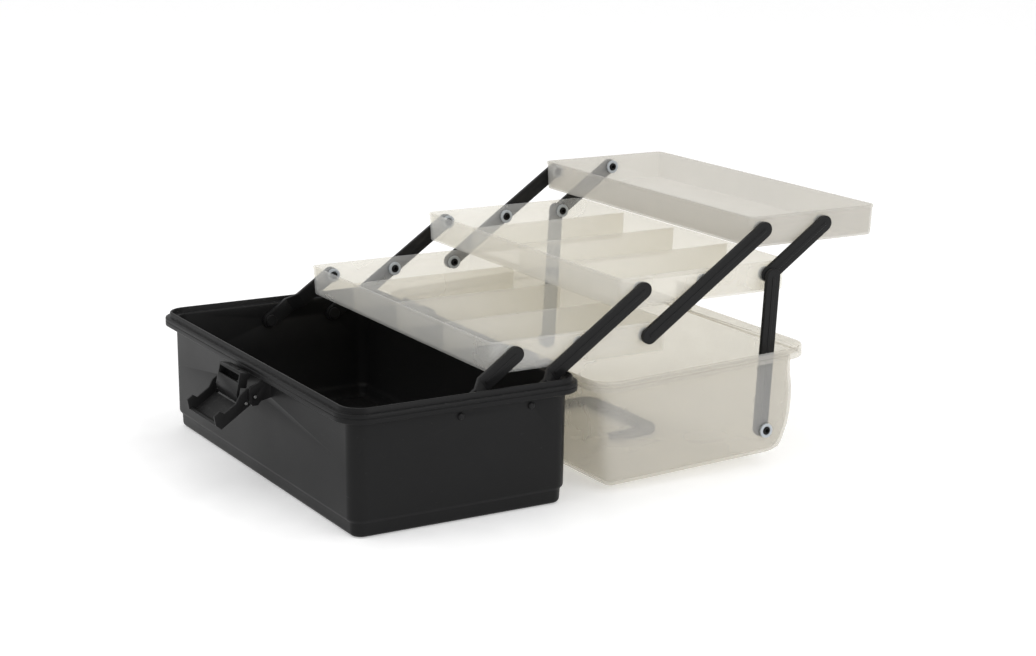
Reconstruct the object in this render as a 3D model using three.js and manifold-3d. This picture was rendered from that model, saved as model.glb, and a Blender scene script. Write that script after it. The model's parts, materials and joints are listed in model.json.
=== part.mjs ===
// Fishing tackle box standing open: black base, three cantilever trays on arms, clear lid folded back.
// Millimetres, +Z up, origin at the centre of the base's underside. X is the long axis, -Y the latch side.
import * as THREE from 'three';
import { mergeVertices } from 'three/addons/utils/BufferGeometryUtils.js';
import Module from 'manifold-3d';

const wasm = await Module();
wasm.setup();
const RAD = Math.PI / 180;

// Driving dimensions -------------------------------------------------------------------------------
const RIM = { halfLength: 200, halfWidth: 111.5, corner: 24 };
const BASE_HEIGHT = 106;
const TONGUE = 4.5;
const LID_DEPTH = 98;
const LID_TILT = 2.1 * RAD;
const HINGE = { y: RIM.halfWidth + 6, z: BASE_HEIGHT - 2, radius: 4.6, pin: 1.6, x: 112, length: 54 };
const JOINT_GAP = 0.3;

const TRAY = {
  halfLength: RIM.halfLength - 27.5, height: 28.1, wall: 1.6, floor: 1.6, draft: 1.6, corner: 7,
};
const TRAY_WIDTHS = [177, 177, 141];
const CELL = TRAY.halfLength / 2 - 0.25;
const DIVIDER_X = [[-CELL, 0, CELL], [-CELL, 0, CELL], []];
const PIVOT_PITCH = 66.2;
const PIVOT_ABOVE_FLOOR = 16.7;
const FIRST_PIVOT = [22.1, 22.1, 13.1];

const ARM = { length: 72.2, angle: 34.5 * RAD, width: 14, thick: 4, gap: 0.7, ridge: 0.8 };
const BASE_PIVOT = { y: -3.9, z: BASE_HEIGHT - 15.5 };
const JOGGLE = { offset: 9.4, from: 24, to: 34 };
const PIN = { radius: 3.6, length: 6.8, bore: 1.9, clearance: 0.4 };
const RIVET = { stem: 2, head: 3 };
const RING = { outer: 6.6, thick: 1.9 };
const LID_PIVOT = { y: 186.3, z: -76.6 };
const LINK_SLACK = 0.7;

const LATCH = {
  width: 62, y: -RIM.halfWidth - 4, z: BASE_HEIGHT - 23, lever: 39, clasp: 24.4,
  open: 56 * RAD, lean: 12 * RAD, pin: 1.5,
};
const HOOK_PIVOT = { y: 1, z: -9 };
const HANDLE = { half: 62, reach: 34, bar: 15, thick: 6.4, end: 3, pin: 1.6, y: 112, drop: 4.2 };

// Derived places -----------------------------------------------------------------------------------
const ARM_X = TRAY.halfLength + ARM.gap;
const LINK_X = ARM_X + ARM.thick + ARM.ridge + 1;
const STEP = { y: ARM.length * Math.cos(ARM.angle), z: ARM.length * Math.sin(ARM.angle) };
const level = (n, back) => ({
  y: BASE_PIVOT.y + n * STEP.y + back * PIVOT_PITCH,
  z: BASE_PIVOT.z + n * STEP.z,
});
const PIVOTS = {
  b1: level(0, 0), b2: level(0, 1),
  t1a: level(1, 0), t1b: level(1, 1), t1c: level(1, 2),
  t2a: level(2, 1), t2b: level(2, 2), t2c: level(2, 3),
  t3a: level(3, 2), t3b: level(3, 3),
};

// Colours ------------------------------------------------------------------------------------------
const material = (color, roughness, metalness = 0, opacity = 1) =>
  new THREE.MeshStandardMaterial({ color, roughness, metalness, opacity, transparent: opacity < 1 });
const black = material(0x232325, 0.5);
const clear = material(0xc8c6be, 0.35, 0, 0.6);
const ringGrey = material(0x9aa0a4, 0.4);
const steel = material(0xa8a8a6, 0.3, 1);

// Solids -------------------------------------------------------------------------------------------
function solid(geometry) {
  const plain = geometry.index ? geometry.clone() : geometry;
  plain.deleteAttribute('normal');
  plain.deleteAttribute('uv');
  const merged = mergeVertices(plain, 1e-4);
  return new wasm.Manifold(new wasm.Mesh({
    numProp: 3,
    vertProperties: new Float32Array(merged.attributes.position.array),
    triVerts: new Uint32Array(merged.index.array),
  }));
}

function geometryOf(manifold) {
  const mesh = manifold.getMesh();
  const geometry = new THREE.BufferGeometry();
  geometry.setAttribute('position', new THREE.BufferAttribute(new Float32Array(mesh.vertProperties), 3));
  geometry.setIndex(new THREE.BufferAttribute(new Uint32Array(mesh.triVerts), 1));
  geometry.computeVertexNormals();
  return geometry;
}

const join = (first, ...others) => others.reduce((sum, next) => sum.add(next), first);
const cut = (first, ...others) => others.reduce((rest, next) => rest.subtract(next), first);

function box(x, y, z) {
  const geometry = new THREE.BoxGeometry(x[1] - x[0], y[1] - y[0], z[1] - z[0]);
  return solid(geometry.translate((x[0] + x[1]) / 2, (y[0] + y[1]) / 2, (z[0] + z[1]) / 2));
}

// A round bar along X between two ends.
function barX(radius, x0, x1, y = 0, z = 0, sides = 14) {
  const geometry = new THREE.CylinderGeometry(radius, radius, x1 - x0, sides);
  return solid(geometry.rotateZ(Math.PI / 2).translate((x0 + x1) / 2, y, z));
}

// A turned piece about X: points are [radius, x], from one end on the axis to the other.
function turned(points, y = 0, z = 0, sides = 12) {
  const profile = points.map(([radius, x]) => new THREE.Vector2(radius, x));
  const geometry = new THREE.LatheGeometry(profile, sides).rotateZ(-Math.PI / 2).translate(0, y, z);
  const piece = solid(geometry);
  return piece.volume() > 0 ? piece : solid(flipped(geometry));
}

function flipped(geometry) {
  const turnedOver = geometry.clone();
  const order = turnedOver.index.array;
  for (let i = 0; i < order.length; i += 3) [order[i], order[i + 1]] = [order[i + 1], order[i]];
  return turnedOver;
}

function mirroredX(geometry) {
  return flipped(geometry.clone().scale(-1, 1, 1));
}

// A prism whose outline lies in the Y-Z plane and which runs from x0 to x1.
function prismX(shape, x0, x1, curveSegments = 5) {
  const geometry = new THREE.ExtrudeGeometry(shape, { depth: x1 - x0, bevelEnabled: false, curveSegments });
  const place = new THREE.Matrix4().set(0, 0, 1, x0, 1, 0, 0, 0, 0, 1, 0, 0, 0, 0, 0, 1);
  return solid(geometry.applyMatrix4(place));
}

function polygon(points) {
  return new THREE.Shape(points.map(([a, b]) => new THREE.Vector2(a, b)));
}

// One ring of a rounded rectangle; back and front edges are y1 and y0.
function ring(halfX, y0, y1, radius, z, cornerSteps) {
  const points = [];
  const corners = [[1, y1, 0], [-1, y1, 90], [-1, y0, 180], [1, y0, 270]];
  for (const [side, edge, start] of corners) {
    const centreX = side * (halfX - radius);
    const centreY = edge === y1 ? y1 - radius : y0 + radius;
    for (let k = 0; k <= cornerSteps; k++) {
      const angle = (start + (90 * k) / cornerSteps) * RAD;
      points.push([centreX + radius * Math.cos(angle), centreY + radius * Math.sin(angle), z]);
    }
  }
  return points;
}

// A tub: rings from the outer underside, up the outside, over the rim and down to the inner floor.
// Each profile entry is [inset, z, inset of the far (+Y) side when it differs].
function tub({ halfX, y0, y1, corner, cornerSteps, profile }) {
  const rings = profile.map(([inset, z, far = inset]) =>
    ring(halfX - inset, y0 + inset, y1 - far, Math.max(corner - inset, 1.2), z, cornerSteps));
  const count = rings[0].length;
  const triangles = [];
  for (let i = 1; i < count - 1; i++) triangles.push(0, i + 1, i);
  for (let r = 0; r < rings.length - 1; r++) {
    for (let i = 0; i < count; i++) {
      const next = (i + 1) % count;
      const [a, b, c, d] = [r * count + i, r * count + next, (r + 1) * count + next, (r + 1) * count + i];
      triangles.push(a, b, c, a, c, d);
    }
  }
  const top = (rings.length - 1) * count;
  for (let i = 1; i < count - 1; i++) triangles.push(top, top + i, top + i + 1);
  const geometry = new THREE.BufferGeometry();
  geometry.setAttribute('position', new THREE.Float32BufferAttribute(rings.flat(2), 3));
  geometry.setIndex(triangles);
  return solid(geometry);
}

// Base ---------------------------------------------------------------------------------------------
function makeBase() {
  const h = BASE_HEIGHT;
  const shell = tub({
    halfX: RIM.halfLength, y0: -RIM.halfWidth, y1: RIM.halfWidth, corner: RIM.corner, cornerSteps: 5,
    profile: [
      [20, 0], [16, 0.7], [13.8, 3.2], [13.3, 12], [10.8, 15], [10, h - 2.4], [2.2, h - 2.4],
      [2.2, h - 8], [0.5, h - 8], [0, h - 7.4], [0, h - 0.8], [0.8, h], [4, h],
      [4.2, h + TONGUE - 0.5], [4.7, h + TONGUE], [5.8, h + TONGUE], [6.3, h + TONGUE - 0.5], [6.5, h],
      [12.2, h], [12.7, h - 0.6], [13.4, 15.8], [15.9, 12.8], [16.4, 6.4], [20.5, 3],
    ],
  });
  const wallInner = RIM.halfLength - 13.5;
  const rivetHoles = ['b1', 'b2'].flatMap((name) => [-1, 1].map((side) => {
    const ends = [side * (wallInner - 4), side * RIM.halfLength].sort((a, b) => a - b);
    return barX(RIVET.stem + PIN.clearance, ...ends, PIVOTS[name].y, PIVOTS[name].z);
  }));
  const ribs = [-20, 20].map((x) => {
    const wall = -RIM.halfWidth + 11;
    const rib = polygon([[wall, BASE_HEIGHT - 20], [wall, BASE_HEIGHT - 5], [wall + 9, BASE_HEIGHT - 5]]);
    return prismX(rib, x - 1.2, x + 1.2);
  });
  return join(cut(shell, ...rivetHoles), ...hingeKnuckles('base'), ...latchCheeks(), ...ribs);
}

// Hinge knuckles: the base carries the outer two of each hinge, the lid the middle one.
function hingeKnuckles(owner) {
  const third = HINGE.length / 3;
  const spans = owner === 'base' ? [[-1.5, -0.5], [0.5, 1.5]] : [[-0.5, 0.5]];
  const knuckles = [];
  for (const centre of [-HINGE.x, HINGE.x]) {
    for (const [from, to] of spans) {
      const x0 = centre + from * third + JOINT_GAP;
      const x1 = centre + to * third - JOINT_GAP;
      const y = owner === 'base' ? HINGE.y : 0;
      const z = owner === 'base' ? HINGE.z : 0;
      const lug = owner === 'base'
        ? box([x0, x1], [RIM.halfWidth - 1.5, HINGE.y], [HINGE.z - HINGE.radius, HINGE.z - 1.4])
        : box([x0, x1], [0, 8.2], [-HINGE.radius - 1.6, -2.8]);
      const bore = barX(HINGE.pin + JOINT_GAP, x0 - 1, x1 + 1, y, z, 10);
      knuckles.push(cut(join(barX(HINGE.radius, x0, x1, y, z), lug), bore));
    }
  }
  return knuckles;
}

// Two cheeks on the base's front wall that carry the latch pin.
function latchCheeks() {
  const inner = LATCH.width / 2 + 0.5;
  const outline = polygon([
    [-RIM.halfWidth + 10.8, LATCH.z - 2], [-RIM.halfWidth + 10.8, BASE_HEIGHT - 6],
    [LATCH.y - 4, LATCH.z + 9],
    [LATCH.y - 5.5, LATCH.z + 5], [LATCH.y - 5.5, LATCH.z - 4], [LATCH.y - 3, LATCH.z - 7.5],
    [LATCH.y + 2, LATCH.z - 7.5], [LATCH.y + 5, LATCH.z - 4],
  ]);
  return [[-inner - 3, -inner], [inner, inner + 3]].map(([x0, x1]) =>
    cut(prismX(outline, x0, x1), barX(LATCH.pin + 0.3, x0 - 1, x1 + 1, LATCH.y, LATCH.z, 12)));
}

// Lid, drawn in its own frame: origin on the hinge axis, +Y away from the hinge, open side up -------
function makeLid() {
  const top = -2.3;
  const y0 = 6;
  const at = (depth) => top - depth;
  const shell = tub({
    halfX: RIM.halfLength, y0, y1: y0 + 2 * RIM.halfWidth, corner: RIM.corner, cornerSteps: 5,
    profile: [
      [24, at(LID_DEPTH), 38], [17, at(96.8), 29], [13.2, at(93), 21.5], [12.2, at(86), 17.5],
      [11.6, at(73), 12], [11, at(57), 9], [10.6, at(40), 8], [10.3, at(28), 9.6], [9.7, at(7.4), 9.7],
      [2.2, at(7.4)], [2, at(9.6)], [0.4, at(9.6)], [0, at(9.1)], [0, at(0.6)], [0.5, at(0)],
      [1.8, at(0)], [2.2, at(0.4)], [2.3, at(5.2)], [11.9, at(5.2)], [12.2, at(7)],
      [12.8, at(28), 12.1], [13.1, at(40), 10.6], [13.5, at(57), 11.5], [14.1, at(73), 14.5],
      [14.8, at(86), 20], [16.2, at(92), 25], [20, at(95.4), 33],
    ],
  });
  const linkHoles = [-1, 1].map((side) => {
    const ends = [side * (RIM.halfLength - 20), side * (RIM.halfLength - 4)].sort((a, b) => a - b);
    return barX(PIN.radius + PIN.clearance, ...ends, LID_PIVOT.y, LID_PIVOT.z);
  });
  const front = y0 + 2 * RIM.halfWidth;
  const catchTab = join(
    box([-12, 12], [front - 1, front + 2.2], [at(9), at(1)]),
    box([-12, 12], [front + 0.5, front + 2.2], [at(3), 14.5]),
    box([-12, 12], [front + 1.5, front + 4], [11, 14]),
  );
  return join(cut(shell, ...linkHoles), catchTab, ...hingeKnuckles('lid'), ...handleLugs(at(LID_DEPTH)));
}

// Lugs under the lid's flat top, in the lid's frame; the handle turns between them.
function handleLugs(plate) {
  const lugs = [];
  for (const side of [-1, 1]) {
    const ends = [side * (HANDLE.half + 0.5), side * (HANDLE.half + 6.5)].sort((a, b) => a - b);
    const lug = box(ends, [HANDLE.y - 5, HANDLE.y + 5], [plate - HANDLE.drop - 3, plate + 0.8]);
    lugs.push(cut(lug, barX(HANDLE.pin + 0.3, ends[0] - 1, ends[1] + 1, HANDLE.y, plate - HANDLE.drop, 12)));
  }
  return lugs;
}

// Trays --------------------------------------------------------------------------------------------
// Drawn with the first pivot at the origin, so that a tray is placed on its pivot.
function makeTray(number) {
  const front = -FIRST_PIVOT[number];
  const back = front + TRAY_WIDTHS[number];
  const floor = -PIVOT_ABOVE_FLOOR;
  const brim = floor + TRAY.height;
  const lean = TRAY.draft;
  const shell = tub({
    halfX: TRAY.halfLength, y0: front, y1: back, corner: TRAY.corner, cornerSteps: 4,
    profile: [
      [lean + 3, floor], [lean + 0.9, floor + 0.7], [lean, floor + 2.6], [0.7, brim - 3], [0, brim - 2.2],
      [0, brim - 0.4], [0.4, brim], [1.5, brim], [2, brim - 0.5], [TRAY.wall + 0.7, brim - 3.4],
      [lean + TRAY.wall, floor + 4], [lean + 2.3, floor + 2.2], [lean + 4, floor + TRAY.floor],
    ],
  });
  const dividers = DIVIDER_X[number].map((x) => {
    const outline = polygon([
      [front + 2.6, floor + 1], [back - 2.6, floor + 1], [back - 1.4, brim - 1.2], [front + 1.4, brim - 1.2],
    ]);
    return prismX(outline, x - 0.7, x + 0.7);
  });
  const pivots = number === 2 ? 2 : 3;
  const holes = [];
  for (let k = 0; k < pivots; k++) {
    for (const side of [-1, 1]) {
      const ends = [side * (TRAY.halfLength - 12.5), side * (TRAY.halfLength + 7.5)].sort((a, b) => a - b);
      holes.push(barX(PIN.radius + PIN.clearance, ...ends, k * PIVOT_PITCH, 0));
    }
  }
  return cut(join(shell, ...dividers), ...holes);
}

// Arms ---------------------------------------------------------------------------------------------
// An arm for the right-hand end, drawn along +Y from its first pivot, inner face at x = 0.
function makeArm({ length, pins, rivetHole = false, outwardPin = false }) {
  const r = ARM.width / 2;
  const outline = new THREE.Shape();
  outline.moveTo(0, -r);
  outline.lineTo(length, -r);
  outline.absarc(length, 0, r, -Math.PI / 2, Math.PI / 2, false);
  outline.lineTo(0, r);
  outline.absarc(0, 0, r, Math.PI / 2, 1.5 * Math.PI, false);
  const lift = rivetHole ? JOGGLE.offset : 0;
  const t = ARM.thick;
  const side = lift
    ? polygon([
      [0, JOGGLE.to], [0, length + 9], [t, length + 9], [t, JOGGLE.to],
      [t + lift, JOGGLE.from], [t + lift, -9], [lift, -9], [lift, JOGGLE.from],
    ])
    : polygon([[0, -9], [t, -9], [t, length + 9], [0, length + 9]]);
  const slab = new THREE.ExtrudeGeometry(side, { depth: ARM.width, bevelEnabled: false });
  let body = solid(slab.translate(0, 0, -r));
  if (body.volume() < 0) body = solid(flipped(slab));
  let arm = prismX(outline, -1, t + lift + 1).intersect(body);
  const ridgeStart = lift ? JOGGLE.to + 3 : 0;
  arm = join(arm, box([t - 0.5, t + ARM.ridge], [ridgeStart, length], [-1.5, 1.5]));
  for (const at of pins) {
    const pin = turned([[0, 0.5], [PIN.radius, 0.5], [PIN.radius, 0.6 - PIN.length],
      [PIN.radius - 0.6, -PIN.length], [PIN.bore, -PIN.length], [PIN.bore, -2], [0, -2]], at, 0);
    arm = join(arm, pin);
  }
  if (rivetHole) arm = cut(arm, barX(PIN.radius, -5, t + lift + 5, 0, 0));
  if (outwardPin) {
    const reach = RIM.halfLength - 8.5 - LINK_X;
    arm = join(arm, turned([[0, t - 0.5], [PIN.radius, t - 0.5], [PIN.radius, reach - 0.5],
      [PIN.radius - 0.5, reach], [PIN.bore, reach], [PIN.bore, reach - 4], [0, reach - 4]], 0, 0));
  }
  return arm;
}

function makeRing(x0) {
  const inner = PIN.radius + JOINT_GAP;
  const washer = barX(RING.outer, x0, x0 + RING.thick, 0, 0, 12);
  return cut(washer, barX(inner, x0 - 1, x0 + RING.thick + 1, 0, 0, 12));
}

// Rivet through the base's end wall: flat head inside the arm, domed head outside.
function makeRivet() {
  const armInner = ARM_X + JOGGLE.offset;
  const outside = RIM.halfLength - 9.7;
  const shank = PIN.radius - 0.4;
  return turned([
    [0, armInner - 2], [5, armInner - 2], [5.5, armInner - 1.5], [5.5, armInner - 0.3],
    [shank, armInner - 0.3], [shank, armInner + ARM.thick + 0.2], [RIVET.stem, armInner + ARM.thick + 0.2],
    [RIVET.stem, outside], [RIVET.head, outside], [RIVET.head, outside + 0.5],
    [RIVET.head - 0.8, outside + 1.2], [0, outside + 1.5],
  ]);
}

// Latch --------------------------------------------------------------------------------------------
// The lever is drawn hanging down from its pivot, outer face towards -Y.
function makeLever() {
  const half = LATCH.width / 2;
  const reach = LATCH.lever;
  const plate = box([-half, half], [2, 4.2], [-reach, -13.5]);
  const lip = prismX(polygon([[4.2, -reach], [4.2, -reach + 3], [2, -reach + 3], [-1.5, -reach + 0.6],
    [-1.5, -reach - 1.8]]), -half, half);
  const outline = polygon([[4.2, -reach], [4.2, 1.5], [2.5, 3.6], [-5.5, 3.6], [-8.6, -1], [-8.6, -9],
    [-5, -16], [-5, -reach + 10], [-9.3, -reach + 8], [-9, -reach + 1.5], [-1.5, -reach - 1.8]]);
  const cheeks = [-1, 1].map((side) => {
    const ends = [side * (half - 2.4), side * half].sort((a, b) => a - b);
    return prismX(outline, ...ends);
  });
  const holes = [barX(LATCH.pin + 0.3, -half - 1, half + 1, 0, 0, 12),
    barX(LATCH.pin + 0.3, -half - 1, half + 1, HOOK_PIVOT.y, HOOK_PIVOT.z, 12)];
  return cut(join(plate, lip, ...cheeks), ...holes);
}

// The clasp: an eye on its pin, a cranked plate, and a boxed head whose nose drops behind the lid's ledge.
function makeHook() {
  const half = LATCH.width / 2 - 8.5;
  const top = LATCH.clasp;
  const eye = barX(3.4, -half, half, 0, 0);
  const sill = prismX(polygon([[-3, -1.5], [1, 3], [-4.1, 6], [-4.1, top - 9], [-6.5, top - 9], [-6.5, 5]]),
    -half, half);
  const crown = box([-half, half], [-6.5, 2.2], [top - 2.4, top]);
  const nose = box([-half, half], [0, 2.2], [top - 5.1, top - 2]);
  const cheeks = [[-half, -half + 2], [half - 2, half]].map((x) => box(x, [-6.5, 1.2], [top - 13, top - 1]));
  const drills = [-8.5, 8.5].map((x) => {
    const drill = new THREE.CylinderGeometry(1.6, 1.6, 8, 12).rotateX(Math.PI / 2).translate(x, -2, top);
    return solid(drill);
  });
  const pinBore = barX(LATCH.pin + 0.3, -half - 1, half + 1, 0, 0, 12);
  return cut(join(eye, sill, crown, nose, ...cheeks), pinBore, ...drills);
}

// Handle: a bail folded flat, drawn with its pivot at the origin, the grip towards +Y.
function makeHandle() {
  const { half, reach, bar, thick, end } = HANDLE;
  const inner = half - 11;
  const outline = new THREE.Shape();
  outline.moveTo(-half, -end);
  outline.lineTo(-half, reach - 8);
  outline.absarc(-half + 16, reach - 8 + bar - 7, 16, Math.PI, Math.PI / 2, true);
  outline.lineTo(half - 16, reach + bar + 1);
  outline.absarc(half - 16, reach - 8 + bar - 7, 16, Math.PI / 2, 0, true);
  outline.lineTo(half, -end);
  outline.lineTo(inner, -end);
  outline.lineTo(inner, reach - 6);
  outline.absarc(inner - 7, reach - 6, 7, 0, Math.PI / 2, false);
  outline.lineTo(-inner + 7, reach + 1);
  outline.absarc(-inner + 7, reach - 6, 7, Math.PI / 2, Math.PI, false);
  outline.lineTo(-inner, -end);
  const geometry = new THREE.ExtrudeGeometry(outline, {
    depth: thick - 2, bevelEnabled: true, bevelSize: 0.9, bevelThickness: 1, bevelSegments: 1,
    bevelOffset: -0.9, curveSegments: 4,
  }).translate(0, 0, -thick / 2 + 1);
  return cut(solid(geometry), barX(HANDLE.pin + 0.3, -half - 2, half + 2, 0, 0, 12));
}

// Assembly -----------------------------------------------------------------------------------------
const group = new THREE.Group();

function add(parent, name, shape, look, place = {}) {
  const mesh = new THREE.Mesh(shape.isBufferGeometry ? shape : geometryOf(shape), look);
  mesh.name = name;
  mesh.position.set(place.x ?? 0, place.y ?? 0, place.z ?? 0);
  mesh.rotation.x = place.turn ?? 0;
  parent.add(mesh);
  return mesh;
}

// Adds a right-hand piece and its mirrored twin on the left.
function addPair(parent, name, shape, look, place) {
  const right = geometryOf(shape);
  add(parent, `${name}_right`, right, look, place);
  add(parent, `${name}_left`, mirroredX(right), look, { ...place, x: -(place.x ?? 0) });
}

add(group, 'base', makeBase(), black);
for (const [name, pivot] of [['rivet_front', 'b1'], ['rivet_rear', 'b2']]) {
  addPair(group, name, makeRivet(), steel, PIVOTS[pivot]);
}

const trayPivots = ['t1a', 't2a', 't3a'];
trayPivots.forEach((pivot, number) => {
  add(group, `tray_${number + 1}`, makeTray(number), clear, PIVOTS[pivot]);
});

const arms = {
  a: { from: 'b1', length: ARM.length, pins: [1], rivetHole: true },
  b: { from: 'b2', length: 2 * ARM.length, pins: [1, 2], rivetHole: true },
  c: { from: 't1c', length: 2 * ARM.length, pins: [0, 1, 2] },
  d: { from: 't2c', length: ARM.length, pins: [0, 1] },
};
const ringInset = TRAY.halfLength - 4.9;
for (const [letter, arm] of Object.entries(arms)) {
  const start = PIVOTS[arm.from];
  const pins = arm.pins.map((n) => n * ARM.length);
  const shape = makeArm({ ...arm, pins });
  addPair(group, `arm_${letter}`, shape, black, { x: ARM_X, ...start, turn: ARM.angle });
  pins.forEach((along, k) => {
    const place = { y: start.y + along * Math.cos(ARM.angle), z: start.z + along * Math.sin(ARM.angle) };
    addPair(group, `ring_${letter}${k + 1}`, makeRing(ringInset), ringGrey, place);
  });
}

// Lid group on the hinge axis
const lidGroup = new THREE.Group();
lidGroup.position.set(0, HINGE.y, HINGE.z);
lidGroup.rotation.x = LID_TILT;
group.add(lidGroup);
add(lidGroup, 'lid', makeLid(), clear);
const pinHalf = HINGE.length / 2 + 1;
for (const [side, x] of [['right', HINGE.x], ['left', -HINGE.x]]) {
  add(group, `hinge_pin_${side}`, barX(HINGE.pin, x - pinHalf, x + pinHalf, 0, 0, 12), steel, HINGE);
  group.children.at(-1).position.x = 0;
}

// Lid link: from the pivot inside the lid up to the rear pivot of tray 2
const lidPivot = {
  y: HINGE.y + LID_PIVOT.y * Math.cos(LID_TILT) - LID_PIVOT.z * Math.sin(LID_TILT),
  z: HINGE.z + LID_PIVOT.y * Math.sin(LID_TILT) + LID_PIVOT.z * Math.cos(LID_TILT),
};
const span = { y: PIVOTS.t2c.y - lidPivot.y, z: PIVOTS.t2c.z - lidPivot.z };
const linkAngle = Math.atan2(span.z, span.y);
const linkLength = Math.hypot(span.y, span.z) - LINK_SLACK;
const linkShape = makeArm({ length: linkLength, pins: [], outwardPin: true });
addPair(group, 'lid_link', linkShape, black, { x: LINK_X, ...lidPivot, turn: linkAngle });
const outerWall = RIM.halfLength - 11.2;
addPair(group, 'ring_link', makeRing(outerWall), ringGrey, lidPivot);

// Handle under the lid
const handleZ = -2.3 - LID_DEPTH - HANDLE.drop;
add(lidGroup, 'handle', makeHandle(), black, { y: HANDLE.y, z: handleZ });
for (const [side, x] of [['right', HANDLE.half - 3], ['left', -HANDLE.half - 5.5]]) {
  add(lidGroup, `handle_pin_${side}`, barX(HANDLE.pin, x, x + 8.5, 0, 0, 12), steel,
    { y: HANDLE.y, z: handleZ });
}

// Latch on the front
const latchGroup = new THREE.Group();
latchGroup.position.set(0, LATCH.y, LATCH.z);
latchGroup.rotation.x = -LATCH.open;
group.add(latchGroup);
const stubPin = barX(LATCH.pin, LATCH.width / 2 - 2.2, LATCH.width / 2 + 3.3, 0, 0, 12);
addPair(latchGroup, 'latch_pin', stubPin, steel, {});
add(latchGroup, 'latch_lever', makeLever(), black);
const hookPinHalf = LATCH.width / 2 - 0.2;
add(latchGroup, 'hook_pin', barX(LATCH.pin, -hookPinHalf, hookPinHalf, 0, 0, 12), steel, HOOK_PIVOT);
add(latchGroup, 'latch_hook', makeHook(), black, { ...HOOK_PIVOT, turn: LATCH.open - LATCH.lean });

export default group;
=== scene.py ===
# %% [markdown]
# # A fishing tackle box with cantilever trays
# The CAD frame holds every size, joint and pivot. Here each moulded piece gets its fine surface:
# large tubs are lofted again with rounder corners, small parts keep their CAD form and get soft edges.
# Loading the frame comes first, because every later place is read from it.

# %% Load the frame
import json
import math

import bmesh
import bpy
from mathutils import Matrix, Vector


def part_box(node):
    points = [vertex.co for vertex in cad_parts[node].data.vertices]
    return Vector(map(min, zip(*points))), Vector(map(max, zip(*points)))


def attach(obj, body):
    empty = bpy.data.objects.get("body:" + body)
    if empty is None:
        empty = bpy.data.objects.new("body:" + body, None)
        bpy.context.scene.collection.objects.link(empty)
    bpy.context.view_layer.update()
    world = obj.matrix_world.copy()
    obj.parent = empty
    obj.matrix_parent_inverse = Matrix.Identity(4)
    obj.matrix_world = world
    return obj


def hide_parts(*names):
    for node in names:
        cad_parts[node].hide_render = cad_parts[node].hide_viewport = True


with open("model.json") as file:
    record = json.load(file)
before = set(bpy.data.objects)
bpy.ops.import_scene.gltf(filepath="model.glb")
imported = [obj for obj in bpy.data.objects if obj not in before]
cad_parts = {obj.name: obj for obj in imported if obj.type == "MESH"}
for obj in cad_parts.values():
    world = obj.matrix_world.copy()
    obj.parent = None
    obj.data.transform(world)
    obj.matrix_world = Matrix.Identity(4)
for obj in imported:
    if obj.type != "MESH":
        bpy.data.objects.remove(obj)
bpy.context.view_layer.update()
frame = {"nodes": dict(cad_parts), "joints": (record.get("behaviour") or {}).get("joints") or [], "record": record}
MM = 0.001

# %% [markdown]
# The camera stands to the right and above, far enough for nearly parallel edges. Its place is given as
# an azimuth, an elevation and a distance from a point between the tubs.

# %% Camera
VIEW = {"azimuth": 59.17, "elevation": 13.78, "roll": 0.67, "distance": 1.9149, "lens": 72.2}
AIM = Vector((-0.0001, 0.1621, 0.1035))

azimuth, elevation = math.radians(VIEW["azimuth"]), math.radians(VIEW["elevation"])
back = Vector((
    math.sin(azimuth) * math.cos(elevation),
    -math.cos(azimuth) * math.cos(elevation),
    math.sin(elevation),
))
camera_data = bpy.data.cameras.new("camera")
camera_data.lens = VIEW["lens"]
camera_data.sensor_width = 36
camera_data.clip_end = 20
camera = bpy.data.objects.new("camera", camera_data)
roll = Matrix.Rotation(math.radians(VIEW["roll"]), 4, "Z")
turn = back.to_track_quat("Z", "Y").to_matrix().to_4x4() @ roll
camera.matrix_world = Matrix.Translation(AIM + VIEW["distance"] * back) @ turn
bpy.context.scene.collection.objects.link(camera)
bpy.context.scene.camera = camera
print("camera at", [round(value, 3) for value in camera.matrix_world.translation])

# %% [markdown]
# A wide, seamless pale floor and large soft lamps give the even light of a studio. A bright world fills the
# shadows inside the black base, so that its floor can still be made out. A ray may cross many milky
# walls, one tray behind another, so it is allowed a large number of transparent steps.

# %% Floor and light
FLOOR_HALF = 9.0
FLOOR_GAP = 0.6 * MM


def flat_floor(half, name="studio_floor"):
    mesh = bpy.data.meshes.new(name)
    corners = [(-half, -half, 0), (half, -half, 0), (half, half, 0), (-half, half, 0)]
    mesh.from_pydata(corners, [], [(0, 1, 2, 3)])
    floor = bpy.data.objects.new(name, mesh)
    floor.location.z = -FLOOR_GAP
    bpy.context.scene.collection.objects.link(floor)
    return floor


floor = flat_floor(FLOOR_HALF)


def soft_lamp(name, place, aim, size, power):
    lamp = bpy.data.lights.new(name, "AREA")
    lamp.shape = "RECTANGLE"
    lamp.size, lamp.size_y = size
    lamp.energy = power
    holder = bpy.data.objects.new(name, lamp)
    direction = Vector(aim) - Vector(place)
    holder.location = place
    holder.rotation_euler = direction.to_track_quat("-Z", "Y").to_euler()
    bpy.context.scene.collection.objects.link(holder)


soft_lamp("key_lamp", (-0.6, -2.2, 2.2), (0, 0.1, 0.1), (2.2, 1.6), 20)
soft_lamp("top_lamp", (0.2, 0.6, 2.6), (0, 0.2, 0), (2.6, 2.6), 7)
soft_lamp("side_lamp", (2.6, 0.9, 1.1), (0, 0.2, 0.1), (1.8, 1.6), 25)

world = bpy.data.worlds.new("studio_world")
world.use_nodes = True
world.node_tree.nodes["Background"].inputs["Color"].default_value = (1, 1, 1, 1)
world.node_tree.nodes["Background"].inputs["Strength"].default_value = 0.8
bpy.context.scene.world = world
bpy.context.scene.view_settings.view_transform = "Standard"
bpy.context.scene.view_settings.look = "None"
TRANSPARENT_WALLS = 40
bpy.context.scene.cycles.transparent_max_bounces = TRANSPARENT_WALLS

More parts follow.
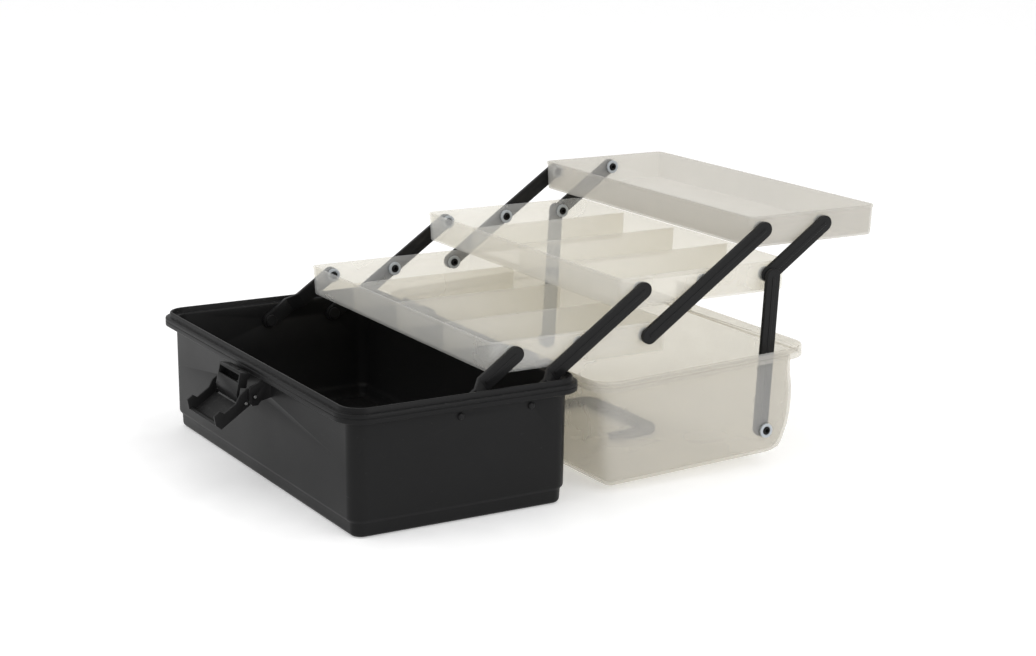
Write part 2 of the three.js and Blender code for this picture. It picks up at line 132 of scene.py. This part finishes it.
# %% [markdown]
# Two effects are shared by several finishes, so each is a node group. `mould_grain` is the fine
# sand-like texture that a tool leaves on polypropylene. `handling` is what use adds: soft patches
# where fingers have polished the plastic, thin scuffs, and a little dust on faces that look up.

# %% Shared node groups
def new_group(name, inputs, outputs):
    group = bpy.data.node_groups.new(name, "ShaderNodeTree")
    for label, kind, default in inputs:
        socket = group.interface.new_socket(label, in_out="INPUT", socket_type=kind)
        if default is not None:
            socket.default_value = default
    for label, kind in outputs:
        group.interface.new_socket(label, in_out="OUTPUT", socket_type=kind)
    start = group.nodes.new("NodeGroupInput")
    end = group.nodes.new("NodeGroupOutput")
    return group, start, end


def node(tree, kind, values=None, **settings):
    made = tree.nodes.new(kind)
    for key, value in settings.items():
        setattr(made, key, value)
    for key, value in (values or {}).items():
        made.inputs[key].default_value = value
    return made


def build_grain():
    group, start, end = new_group(
        "mould_grain",
        [("Scale", "NodeSocketFloat", 1800.0), ("Unevenness", "NodeSocketFloat", 0.5)],
        [("Height", "NodeSocketFloat"), ("Speckle", "NodeSocketFloat")],
    )
    place = node(group, "ShaderNodeTexCoord")
    fine = node(group, "ShaderNodeTexNoise", {"Detail": 3.0, "Roughness": 0.6})
    group.links.new(place.outputs["Object"], fine.inputs["Vector"])
    group.links.new(start.outputs["Scale"], fine.inputs["Scale"])
    broad = node(group, "ShaderNodeTexNoise", {"Scale": 26.0, "Detail": 2.0})
    group.links.new(place.outputs["Object"], broad.inputs["Vector"])
    mix = node(group, "ShaderNodeMix", data_type="FLOAT")
    group.links.new(start.outputs["Unevenness"], mix.inputs[0])
    group.links.new(fine.outputs[0], mix.inputs[2])
    group.links.new(broad.outputs[0], mix.inputs[3])
    group.links.new(mix.outputs[0], end.inputs["Height"])
    group.links.new(fine.outputs[0], end.inputs["Speckle"])
    return group


def build_handling():
    group, start, end = new_group(
        "handling",
        [("Patches", "NodeSocketFloat", 14.0), ("Scuffs", "NodeSocketFloat", 0.5)],
        [("Polish", "NodeSocketFloat"), ("Scuff", "NodeSocketFloat"), ("Dust", "NodeSocketFloat")],
    )
    place = node(group, "ShaderNodeTexCoord")
    patches = node(group, "ShaderNodeTexNoise", {"Detail": 4.0, "Roughness": 0.55})
    group.links.new(place.outputs["Object"], patches.inputs["Vector"])
    group.links.new(start.outputs["Patches"], patches.inputs["Scale"])
    group.links.new(patches.outputs[0], end.inputs["Polish"])

    stretch = node(group, "ShaderNodeMapping", {"Scale": (9.0, 120.0, 160.0), "Rotation": (0.5, 0.3, 0.9)})
    group.links.new(place.outputs["Object"], stretch.inputs["Vector"])
    lines = node(group, "ShaderNodeTexNoise", {"Scale": 3.0, "Detail": 5.0, "Roughness": 0.7})
    group.links.new(stretch.outputs[0], lines.inputs["Vector"])
    thin = node(group, "ShaderNodeMapRange", {"From Min": 0.66, "From Max": 0.74})
    group.links.new(lines.outputs[0], thin.inputs["Value"])
    strength = node(group, "ShaderNodeMath", operation="MULTIPLY")
    group.links.new(thin.outputs[0], strength.inputs[0])
    group.links.new(start.outputs["Scuffs"], strength.inputs[1])
    group.links.new(strength.outputs[0], end.inputs["Scuff"])

    geometry = node(group, "ShaderNodeNewGeometry")
    split = node(group, "ShaderNodeSeparateXYZ")
    group.links.new(geometry.outputs["Normal"], split.inputs[0])
    upward = node(group, "ShaderNodeMapRange", {"From Min": 0.5, "From Max": 1.0})
    group.links.new(split.outputs["Z"], upward.inputs["Value"])
    specks = node(group, "ShaderNodeTexNoise", {"Scale": 420.0, "Detail": 3.0})
    group.links.new(place.outputs["Object"], specks.inputs["Vector"])
    settle = node(group, "ShaderNodeMapRange", {"From Min": 0.52, "From Max": 0.72})
    group.links.new(specks.outputs[0], settle.inputs["Value"])
    dust = node(group, "ShaderNodeMath", operation="MULTIPLY")
    group.links.new(upward.outputs[0], dust.inputs[0])
    group.links.new(settle.outputs[0], dust.inputs[1])
    group.links.new(dust.outputs[0], end.inputs["Dust"])
    return group


grain_group = build_grain()
handling_group = build_handling()
print("node groups:", [group.name for group in bpy.data.node_groups])

# %% [markdown]
# Black polypropylene is never fully black: it has a satin skin with fine grain, greyer scuffs and
# polished patches. One function makes it, so that the tub, the arms and the latch can differ a little.

# %% Black plastic
SCUFF_GREY = (0.06, 0.06, 0.062, 1)
DUST_GREY = (0.35, 0.34, 0.32, 1)
DUST_SHARE = 0.05


def use_group(tree, group, values):
    made = tree.nodes.new("ShaderNodeGroup")
    made.node_tree = group
    for key, value in values.items():
        made.inputs[key].default_value = value
    return made


def two_tone(tree, factor, first, second):
    mix = node(tree, "ShaderNodeMix", data_type="RGBA")
    tree.links.new(factor, mix.inputs[0])
    mix.inputs[6].default_value = (*first, 1)
    mix.inputs[7].default_value = (*second, 1)
    return mix.outputs[2]


def black_plastic(name, tone, roughness, grain=0.25, scuffs=0.4):
    material = bpy.data.materials.new(name)
    material.use_nodes = True
    tree = material.node_tree
    skin = tree.nodes["Principled BSDF"]
    skin.inputs["Specular IOR Level"].default_value = 0.095
    worn = use_group(tree, handling_group, {"Patches": 11.0, "Scuffs": scuffs})
    texture = use_group(tree, grain_group, {"Scale": 1500.0, "Unevenness": 0.35})

    polished = [tone * 1.2, tone * 1.2, tone * 1.24]
    pigment = two_tone(tree, worn.outputs["Polish"], [tone * 0.85] * 3, polished)
    scuffed = node(tree, "ShaderNodeMix", data_type="RGBA")
    tree.links.new(worn.outputs["Scuff"], scuffed.inputs[0])
    tree.links.new(pigment, scuffed.inputs[6])
    scuffed.inputs[7].default_value = SCUFF_GREY
    dusted = node(tree, "ShaderNodeMix", data_type="RGBA")
    faint = node(tree, "ShaderNodeMath", {1: DUST_SHARE}, operation="MULTIPLY")
    tree.links.new(worn.outputs["Dust"], faint.inputs[0])
    tree.links.new(faint.outputs[0], dusted.inputs[0])
    tree.links.new(scuffed.outputs[2], dusted.inputs[6])
    dusted.inputs[7].default_value = DUST_GREY
    tree.links.new(dusted.outputs[2], skin.inputs["Base Color"])

    rough = node(tree, "ShaderNodeMapRange", {"To Min": roughness - 0.07, "To Max": roughness + 0.1})
    tree.links.new(worn.outputs["Polish"], rough.inputs["Value"])
    tree.links.new(rough.outputs[0], skin.inputs["Roughness"])
    bump = node(tree, "ShaderNodeBump", {"Strength": grain, "Distance": 0.00012})
    tree.links.new(texture.outputs["Height"], bump.inputs["Height"])
    tree.links.new(bump.outputs[0], skin.inputs["Normal"])
    return material


tub_black = black_plastic("tub_black", 0.010, 0.38)
arm_black = black_plastic("arm_black", 0.013, 0.3, grain=0.2, scuffs=0.7)
latch_black = black_plastic("latch_black", 0.011, 0.42, grain=0.15, scuffs=0.3)
print("black finishes ready")

# %% [markdown]
# The trays and the lid are natural polypropylene: milky, not glassy. Light enters and spreads, so the
# wall glows softly, and dark things close behind it still show. The finish mixes a satin skin, a
# Translucent shader for the light that comes through, and a Transparent share for what shows behind.
# Cloudy flow marks change that share a little from place to place.

# %% Milky plastic
GLOW_SHARE = 0.3
CLEAR_TINT = (1.0, 0.978, 0.92, 1)


def milky_plastic(name, milk, see_through, roughness):
    material = bpy.data.materials.new(name)
    material.use_nodes = True
    tree = material.node_tree
    skin = tree.nodes["Principled BSDF"]
    out = tree.nodes["Material Output"]
    skin.inputs["Specular IOR Level"].default_value = 0.4
    cloud = use_group(tree, handling_group, {"Patches": 7.0, "Scuffs": 0.5})
    texture = use_group(tree, grain_group, {"Scale": 900.0, "Unevenness": 0.75})

    tint = two_tone(tree, cloud.outputs["Polish"], [value * 0.97 for value in milk], milk)
    tree.links.new(tint, skin.inputs["Base Color"])
    rough = node(tree, "ShaderNodeMapRange", {"To Min": roughness - 0.08, "To Max": roughness + 0.12})
    tree.links.new(cloud.outputs["Polish"], rough.inputs["Value"])
    tree.links.new(rough.outputs[0], skin.inputs["Roughness"])
    bump = node(tree, "ShaderNodeBump", {"Strength": 0.08, "Distance": 0.0001})
    tree.links.new(texture.outputs["Height"], bump.inputs["Height"])
    tree.links.new(bump.outputs[0], skin.inputs["Normal"])

    glow = node(tree, "ShaderNodeBsdfTranslucent")
    tree.links.new(tint, glow.inputs["Color"])
    body = node(tree, "ShaderNodeMixShader", {0: GLOW_SHARE})
    tree.links.new(skin.outputs[0], body.inputs[1])
    tree.links.new(glow.outputs[0], body.inputs[2])
    clear = node(tree, "ShaderNodeBsdfTransparent", {"Color": CLEAR_TINT})
    share = node(tree, "ShaderNodeMapRange", {"To Min": see_through + 0.05, "To Max": see_through - 0.05})
    tree.links.new(cloud.outputs["Polish"], share.inputs["Value"])
    wall = node(tree, "ShaderNodeMixShader")
    tree.links.new(share.outputs[0], wall.inputs[0])
    tree.links.new(body.outputs[0], wall.inputs[1])
    tree.links.new(clear.outputs[0], wall.inputs[2])
    tree.links.new(wall.outputs[0], out.inputs["Surface"])
    return material


# The lid is the same plastic as the trays; its darker milk is painted shade, making its walls look less lit than
# the side lamp leaves them.
lid_shaded_milk = milky_plastic("lid_shaded_milk", (0.585, 0.59, 0.60), 0.66, 0.36)
tray_milk = milky_plastic("tray_milk", (0.76, 0.78, 0.815), 0.70, 0.3)
# The top tray is the same plastic as the others; its darker milk is painted shade, making its open top look less
# lit than the light from above leaves it.
top_tray_shaded_milk = milky_plastic("top_tray_shaded_milk", (0.54, 0.54, 0.545), 0.58, 0.34)
print("milky finishes ready")

# %% [markdown]
# The small hardware needs two more finishes: drawn steel for the pins, with a fine grain, and pale grey
# plastic for the snap rings.

# %% Steel and ring plastic
def simple_finish(name, colour, roughness, metallic, grain_scale, bump_strength):
    material = bpy.data.materials.new(name)
    material.use_nodes = True
    tree = material.node_tree
    skin = tree.nodes["Principled BSDF"]
    skin.inputs["Metallic"].default_value = metallic
    texture = use_group(tree, grain_group, {"Scale": grain_scale, "Unevenness": 0.2})
    tint = two_tone(tree, texture.outputs["Speckle"], [value * 0.85 for value in colour], colour)
    tree.links.new(tint, skin.inputs["Base Color"])
    rough = node(tree, "ShaderNodeMapRange", {"To Min": roughness - 0.08, "To Max": roughness + 0.1})
    tree.links.new(texture.outputs["Speckle"], rough.inputs["Value"])
    tree.links.new(rough.outputs[0], skin.inputs["Roughness"])
    bump = node(tree, "ShaderNodeBump", {"Strength": bump_strength, "Distance": 0.0001})
    tree.links.new(texture.outputs["Height"], bump.inputs["Height"])
    tree.links.new(bump.outputs[0], skin.inputs["Normal"])
    return material


pin_steel = simple_finish("pin_steel", (0.62, 0.62, 0.61), 0.3, 1.0, 2600.0, 0.1)
ring_grey = simple_finish("ring_grey", (0.42, 0.45, 0.48), 0.4, 0.0, 1800.0, 0.1)
floor_pale = simple_finish("floor_pale", (0.9, 0.9, 0.9), 0.75, 0.0, 30.0, 0.02)
floor_skin = floor_pale.node_tree.nodes["Principled BSDF"]
floor_skin.inputs["Emission Color"].default_value = (1, 1, 1, 1)
floor_skin.inputs["Emission Strength"].default_value = 0.3
floor.data.materials.append(floor_pale)
print("materials:", len(bpy.data.materials))

# %% [markdown]
# Both big tubs are lofts: a rounded rectangle that shrinks and grows as it follows a wall profile, up
# the outside, over the rim and down the inside to the floor. A loft keeps every corner round at any
# height, which extruding and beveling a box would not.

# %% Loft helper
def rounded_ring(half_x, low_y, high_y, radius, height, steps):
    points = []
    corners = [(1, high_y, 0), (-1, high_y, 90), (-1, low_y, 180), (1, low_y, 270)]
    for side, edge, start in corners:
        centre_x = side * (half_x - radius)
        centre_y = edge - radius if edge == high_y else edge + radius
        for k in range(steps + 1):
            angle = math.radians(start + 90 * k / steps)
            across, along = radius * math.cos(angle), radius * math.sin(angle)
            points.append((centre_x + across, centre_y + along, height))
    return points


CORNER_STEPS = 14
SMALLEST_RADIUS = 1.2 * MM


def tub(name, half_x, low_y, high_y, corner, profile):
    """profile: (inset, height, inset of the far side), from the underside to the inner floor, in mm."""
    rings = []
    for inset, height, *far in profile:
        far_inset = (far[0] if far else inset) * MM
        radius = max(corner - inset * MM, SMALLEST_RADIUS)
        rings.append(rounded_ring(half_x - inset * MM, low_y + inset * MM, high_y - far_inset,
                                  radius, height * MM, CORNER_STEPS))
    count = len(rings[0])
    faces = [tuple(reversed(range(count)))]
    for r in range(len(rings) - 1):
        for i in range(count):
            j = (i + 1) % count
            faces.append((r * count + i, r * count + j, (r + 1) * count + j, (r + 1) * count + i))
    faces.append(tuple(range((len(rings) - 1) * count, len(rings) * count)))
    return new_piece(name, [point for ring in rings for point in ring], faces)


def new_piece(name, points, faces):
    mesh = bpy.data.meshes.new(name)
    mesh.from_pydata(points, [], faces)
    mesh.validate()
    piece = bpy.data.objects.new(name, mesh)
    bpy.context.scene.collection.objects.link(piece)
    return piece


SHARP_ABOVE = math.radians(44)


def soften(piece, width, segments=2, angle=38):
    """Rounds hard edges a little and shades the rest smooth."""
    bevel = piece.modifiers.new("soft_edges", "BEVEL")
    bevel.width = width * MM
    bevel.segments = segments
    bevel.limit_method = "ANGLE"
    bevel.angle_limit = math.radians(angle)
    bevel.harden_normals = False
    apply_modifiers(piece)
    piece.data.shade_smooth()
    piece.data.set_sharp_from_angle(angle=SHARP_ABOVE)
    return piece


def apply_modifiers(piece):
    bpy.context.view_layer.update()
    evaluated = piece.evaluated_get(bpy.context.evaluated_depsgraph_get())
    finished = bpy.data.meshes.new_from_object(evaluated)
    piece.modifiers.clear()
    piece.data = finished


def combine(piece, others, operation):
    """Joins other pieces to this one, or cuts them away, then removes them."""
    for other in others:
        step = piece.modifiers.new("combine", "BOOLEAN")
        step.operation = operation
        step.solver = "EXACT"
        step.object = other
    apply_modifiers(piece)
    for other in others:
        bpy.data.objects.remove(other)
    return piece


def finish_piece(piece, body, material, slot, *nodes):
    piece.data.materials.clear()
    piece.data.materials.append(material)
    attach(piece, body)
    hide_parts(*nodes)
    return piece


def round_bar(name, radius, x0, x1, y, z, sides=32):
    points = []
    for x in (x0, x1):
        for k in range(sides):
            angle = 2 * math.pi * k / sides
            points.append((x, y + radius * math.cos(angle), z + radius * math.sin(angle)))
    faces = [(k, (k + 1) % sides, sides + (k + 1) % sides, sides + k) for k in range(sides)]
    faces += [tuple(reversed(range(sides))), tuple(range(sides, 2 * sides))]
    return new_piece(name, points, faces)


def slab_x(name, outline, x0, x1):
    """A flat plate: an outline of (y, z) points, run from x0 to x1."""
    count = len(outline)
    points = [(x, y, z) for x in (x0, x1) for y, z in outline]
    faces = [(k, (k + 1) % count, count + (k + 1) % count, count + k) for k in range(count)]
    faces += [tuple(reversed(range(count))), tuple(range(count, 2 * count))]
    return new_piece(name, points, faces)


def joint_place(name):
    return next(joint for joint in frame["joints"] if joint["name"] == name)["pos_m"]


# %% [markdown]
# The black base: a foot that steps in near the floor, plain walls with a little draft, and a flange
# round the top with a hanging skirt, a ledge and the raised tongue that the lid closes over.

# %% Base tub
base_low, base_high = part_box("base")
RIM_HALF_X = base_high.x
RIM_HALF_Y = 111.5 * MM
CORNER = 24 * MM
TOP = 106.0
hinge_y, hinge_z = joint_place("lid_hinge")[1:]

base = tub("base_tub", RIM_HALF_X, -RIM_HALF_Y, RIM_HALF_Y, CORNER, [
    (21, 0), (17.5, 0), (15.6, 0.5), (14.3, 1.8), (13.8, 3.6), (13.4, 11.4), (12.8, 12.8), (11.3, 14.4),
    (10.8, 16), (10.4, 60), (10.1, 101.8), (9.4, 103.3), (8.2, 103.6), (2.6, 103.6), (2.2, 103.2),
    (2.2, 98), (0.6, 98), (0, 98.6), (0, 101.9), (0.5, 102.3), (0.5, 102.7), (0, 103.1), (0, TOP - 1.2),
    (0.3, TOP - 0.4), (1.1, TOP), (3.6, TOP), (4.0, TOP + 0.4), (4.2, TOP + 3.8), (4.6, TOP + 4.4),
    (5.1, TOP + 4.5), (5.6, TOP + 4.5), (6.2, TOP + 4.3), (6.5, TOP + 3.6), (6.7, TOP + 0.5), (7.2, TOP),
    (11.4, TOP), (12.4, TOP - 0.3), (12.7, TOP - 1.4), (13.1, 60), (13.5, 16.6), (14, 14.8), (15.6, 13.2),
    (16, 11.8), (16.5, 6.8), (17.6, 4.4), (20, 3.1), (24, 3),
])
print("base tub faces:", len(base.data.polygons))

# %% [markdown]
# What the base carries is moulded with it: holes for the rivets, two hinge knuckles at each hinge and
# the pair of cheeks for the latch. Each is a plain solid that is cut out or joined with a boolean.

# %% Base fittings
KNUCKLE_RADIUS = 4.6 * MM
PIN_BORE = 1.9 * MM
LATCH_BORE = 1.8 * MM
RIVET_BORE = 2.4 * MM


def hinge_knuckle(name, x0, x1, centre_y, centre_z, lug):
    barrel = round_bar(name, KNUCKLE_RADIUS, x0, x1, centre_y, centre_z, 40)
    combine(barrel, [slab_x(name + "_lug", lug, x0, x1)], "UNION")
    bore = round_bar(name + "_bore", PIN_BORE, x0 - MM, x1 + MM, centre_y, centre_z, 24)
    return combine(barrel, [bore], "DIFFERENCE")


pin_low, pin_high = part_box("hinge_pin_right")
hinge_x = (pin_low.x + pin_high.x) / 2
third = (pin_high.x - pin_low.x - 2 * MM) / 3
gap = 0.3 * MM
base_lug = [
    (RIM_HALF_Y - 1.5 * MM, hinge_z - KNUCKLE_RADIUS), (hinge_y, hinge_z - KNUCKLE_RADIUS),
    (hinge_y, hinge_z - 1.4 * MM), (RIM_HALF_Y - 1.5 * MM, hinge_z - 1.4 * MM),
]
fittings = []
for centre in (-hinge_x, hinge_x):
    for start, end in ((-1.5, -0.5), (0.5, 1.5)):
        x0, x1 = centre + start * third + gap, centre + end * third - gap
        fittings.append(hinge_knuckle("base_knuckle", x0, x1, hinge_y, hinge_z, base_lug))

latch_y, latch_z = joint_place("latch_swing")[1:]
lever_half = (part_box("latch_lever")[1].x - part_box("latch_lever")[0].x) / 2
cheek_root = -RIM_HALF_Y + 10.8 * MM
cheek_outline = [
    (cheek_root, latch_z - 2 * MM), (cheek_root, 100 * MM), (latch_y - 4 * MM, 92 * MM),
    (latch_y - 5.5 * MM, latch_z + 5 * MM), (latch_y - 5.5 * MM, latch_z - 4 * MM),
    (latch_y - 3 * MM, latch_z - 7.5 * MM), (latch_y + 2 * MM, latch_z - 7.5 * MM),
    (latch_y + 5 * MM, latch_z - 4 * MM),
]
for side in (-1, 1):
    ends = sorted((side * (lever_half + 0.5 * MM), side * (lever_half + 3.5 * MM)))
    cheek = slab_x("latch_cheek", cheek_outline, *ends)
    hole = round_bar("cheek_hole", LATCH_BORE, ends[0] - MM, ends[1] + MM, latch_y, latch_z, 24)
    fittings.append(combine(cheek, [hole], "DIFFERENCE"))

rib_root = -RIM_HALF_Y + 11 * MM
rib_outline = [(rib_root, 86 * MM), (rib_root, 101 * MM), (-RIM_HALF_Y + 20 * MM, 101 * MM)]
for x in (-20 * MM, 20 * MM):
    fittings.append(slab_x("latch_rib", rib_outline, x - 1.2 * MM, x + 1.2 * MM))

rivet_holes = []
for joint in ("trays_fold", "arms_b_swing"):
    _, y, z = joint_place(joint)
    for side in (-1, 1):
        ends = sorted((side * (RIM_HALF_X - 18 * MM), side * RIM_HALF_X))
        rivet_holes.append(round_bar("rivet_hole", RIVET_BORE, *ends, y, z, 24))
combine(base, rivet_holes, "DIFFERENCE")
combine(base, fittings, "UNION")
soften(base, 0.45)
finish_piece(base, "base", tub_black, "black_plastic", "base")
print("base faces:", len(base.data.polygons))

# %% [markdown]
# The lid lies open behind, turned over by its hinges, so it is built flat in its own frame and then
# tipped by the small angle at which it rests on its folded handle. Its front wall, now the far one, has
# a catch ledge and a long curve into the flat top.

# %% Lid tub
LID_TILT = math.radians(2.1)
LID_TOP = -2.3
LID_Y = 6 * MM
LINK_BORE = 4 * MM
lid_place = Matrix.Translation((0, hinge_y, hinge_z)) @ Matrix.Rotation(LID_TILT, 4, "X")


def down(depth):
    return LID_TOP - depth


lid = tub("lid_tub", RIM_HALF_X, LID_Y, LID_Y + 2 * RIM_HALF_Y, CORNER, [
    (26, down(98), 40), (22, down(98), 36), (18.6, down(97.4), 31.5), (15.6, down(95.6), 26.5),
    (13.6, down(93), 21.5), (12.6, down(90), 19.2), (12.2, down(86), 17.2), (11.6, down(73), 12),
    (11.2, down(62), 9.6), (10.9, down(50), 8.2), (10.6, down(40), 8), (10.4, down(32), 9),
    (10.3, down(28), 9.6), (9.8, down(9), 9.8), (9.2, down(7.6)), (8, down(7.4)), (2.6, down(7.4)),
    (2.1, down(7.8)), (2, down(9.6)), (0.5, down(9.6)), (0, down(9.1)), (0, down(5.9)),
    (0.5, down(5.5)), (0.5, down(5.1)), (0, down(4.7)),
    (0, down(0.6)), (0.3, down(0.1)), (0.6, down(0)), (1.8, down(0)), (2.2, down(0.4)), (2.3, down(4.9)),
    (2.8, down(5.2)), (11, down(5.2)), (11.9, down(5.6)), (12.3, down(7.4)), (12.9, down(28), 12.2),
    (13.1, down(40), 10.8), (13.3, down(50), 10.9), (13.6, down(62), 12.2), (14.1, down(73), 14.6),
    (14.8, down(86), 20), (15.4, down(90), 22.6), (17, down(93.4), 26.4), (19.6, down(95), 31),
    (24, down(95.4), 38),
])
_, link_y, link_z = joint_place("lid_link_swing")
link_local = lid_place.inverted() @ Vector((0, link_y, link_z))
link_holes = []
for side in (-1, 1):
    ends = sorted((side * (RIM_HALF_X - 20 * MM), side * (RIM_HALF_X - 4 * MM)))
    link_holes.append(round_bar("link_hole", LINK_BORE, *ends, link_local.y, link_local.z, 32))
combine(lid, link_holes, "DIFFERENCE")

front = LID_Y + 2 * RIM_HALF_Y
lid_fittings = []
lid_lug = [(0, -6.2 * MM), (8.2 * MM, -6.2 * MM), (8.2 * MM, -2.8 * MM), (0, -2.8 * MM)]
for centre in (-hinge_x, hinge_x):
    x0, x1 = centre - 0.5 * third + gap, centre + 0.5 * third - gap
    lid_fittings.append(hinge_knuckle("lid_knuckle", x0, x1, 0, 0, lid_lug))
catch_outline = [
    (front - MM, down(9) * MM), (front + 2.2 * MM, down(9) * MM), (front + 2.2 * MM, 11 * MM),
    (front + 4 * MM, 11 * MM), (front + 4 * MM, 13.5 * MM), (front + 2.2 * MM, 14.5 * MM),
    (front + 0.5 * MM, 14.5 * MM), (front + 0.5 * MM, down(1) * MM), (front - MM, down(1) * MM),
]
lid_fittings.append(slab_x("catch_tab", catch_outline, -12 * MM, 12 * MM))

_, handle_y, handle_z = joint_place("handle_swing")
handle_local = lid_place.inverted() @ Vector((0, handle_y, handle_z))
handle_half = (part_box("handle")[1].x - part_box("handle")[0].x) / 2
plate = down(98) * MM
lug_outline = [
    (handle_local.y - 5 * MM, handle_local.z - 2 * MM), (handle_local.y - 4 * MM, handle_local.z - 3 * MM),
    (handle_local.y + 4 * MM, handle_local.z - 3 * MM), (handle_local.y + 5 * MM, handle_local.z - 2 * MM),
    (handle_local.y + 5 * MM, plate + 0.8 * MM), (handle_local.y - 5 * MM, plate + 0.8 * MM),
]
for side in (-1, 1):
    ends = sorted((side * (handle_half + 0.5 * MM), side * (handle_half + 6.5 * MM)))
    lug = slab_x("handle_lug", lug_outline, *ends)
    bore = round_bar("lug_bore", PIN_BORE, ends[0] - MM, ends[1] + MM, handle_local.y, handle_local.z, 24)
    lid_fittings.append(combine(lug, [bore], "DIFFERENCE"))
combine(lid, lid_fittings, "UNION")
soften(lid, 0.4)
lid.data.transform(lid_place)
finish_piece(lid, "lid", lid_shaded_milk, "clear_plastic", "lid")
print("lid faces:", len(lid.data.polygons))

# %% [markdown]
# Trays, arms, latch and handle already have their true form in CAD. For these a copy of the CAD mesh is
# cleaned of the triangles that a solid is stored with, its edges are rounded, and it is shaded smooth.

# %% Refining a CAD piece
def refined(name, body, material, slot, width, segments=3, angle=35):
    source = frame["nodes"][name]
    piece = bpy.data.objects.new(name + "_fine", source.data.copy())
    bpy.context.scene.collection.objects.link(piece)
    mesh = bmesh.new()
    mesh.from_mesh(piece.data)
    bmesh.ops.remove_doubles(mesh, verts=mesh.verts, dist=2e-6)
    bmesh.ops.dissolve_limit(mesh, angle_limit=math.radians(1.0), verts=mesh.verts, edges=mesh.edges)
    mesh.to_mesh(piece.data)
    mesh.free()
    for attribute in list(piece.data.attributes):
        if attribute.name in ("custom_normal", "Color"):
            piece.data.attributes.remove(attribute)
    soften(piece, width, segments, angle)
    return finish_piece(piece, body, material, slot, name)


groups = frame["record"]["behaviour"]["bodies"]
for number in (1, 2, 3):
    milk = top_tray_shaded_milk if number == 3 else tray_milk
    refined(f"tray_{number}", f"tray_{number}", milk, "clear_plastic", 0.3, 2)
for body in ("arms_a", "arms_b", "arms_c", "arms_d", "lid_links"):
    for name in groups[body]:
        if name.startswith("ring"):
            refined(name, body, ring_grey, "ring_plastic", 0.35, 2)
        else:
            refined(name, body, arm_black, "black_plastic", 0.9)
refined("handle", "handle", latch_black, "black_plastic", 0.6)
refined("latch_lever", "latch_lever", latch_black, "black_plastic", 0.4)
refined("latch_hook", "latch_hook", latch_black, "black_plastic", 0.35)

# %% [markdown]
# The pins and rivets are turned parts, so each is a profile swept round its axis: the pins with a small
# lead-in at both ends, the rivets with a flat flange inside the wall and a dome outside it.

# %% Pins and rivets
PIN_TIP = 0.4 * MM
DOME = 1.5 * MM
SHANK, SHOULDER, FLANGE = 2.0 * MM, 3.2 * MM, 5.5 * MM


def turned_x(name, profile, y, z, sides=36):
    """profile: (x, radius) pairs in metres; both ends close on a flat disc."""
    points = []
    for x, radius in profile:
        for k in range(sides):
            angle = 2 * math.pi * k / sides
            points.append((x, y + radius * math.cos(angle), z + radius * math.sin(angle)))
    faces = []
    for r in range(len(profile) - 1):
        for k in range(sides):
            j = (k + 1) % sides
            faces.append((r * sides + k, r * sides + j, (r + 1) * sides + j, (r + 1) * sides + k))
    last = (len(profile) - 1) * sides
    faces += [tuple(reversed(range(sides))), tuple(range(last, last + sides))]
    piece = new_piece(name, points, faces)
    piece.data.shade_smooth()
    piece.data.set_sharp_from_angle(angle=math.radians(40))
    return piece


for body, members in groups.items():
    for name in members:
        if "pin" in name:
            low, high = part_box(name)
            y, z = (low.y + high.y) / 2, (low.z + high.z) / 2
            radius = (high.z - low.z) / 2
            profile = [(low.x, radius - PIN_TIP), (low.x + PIN_TIP, radius),
                       (high.x - PIN_TIP, radius), (high.x, radius - PIN_TIP)]
            piece = turned_x(name + "_turned", profile, y, z)
            finish_piece(piece, body, pin_steel, "pin_metal", name)

for joint, name in (("trays_fold", "rivet_front"), ("arms_b_swing", "rivet_rear")):
    _, y, z = joint_place(joint)
    for side, label in ((1, "right"), (-1, "left")):
        low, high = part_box(f"{name}_{label}")
        inner, outer = sorted((abs(low.x), abs(high.x)))
        wall = outer - DOME
        step = inner + 6.2 * MM
        dome = [(wall + DOME * math.sin(t), 3.0 * MM * math.cos(t)) for t in (0.1, 0.4, 0.7, 1.0, 1.3, 1.5)]
        profile = [(inner, 5.0 * MM), (inner + 0.5 * MM, FLANGE), (inner + 1.7 * MM, FLANGE),
                   (inner + 1.7 * MM, SHOULDER), (step, SHOULDER), (step, SHANK),
                   (wall, SHANK), (wall, 3.0 * MM)] + dome
        profile = [(side * x, radius) for x, radius in profile]
        if side < 0:
            profile.reverse()
        piece = turned_x(f"{name}_{label}_turned", profile, y, z)
        finish_piece(piece, "base", arm_black, "black_plastic", f"{name}_{label}")
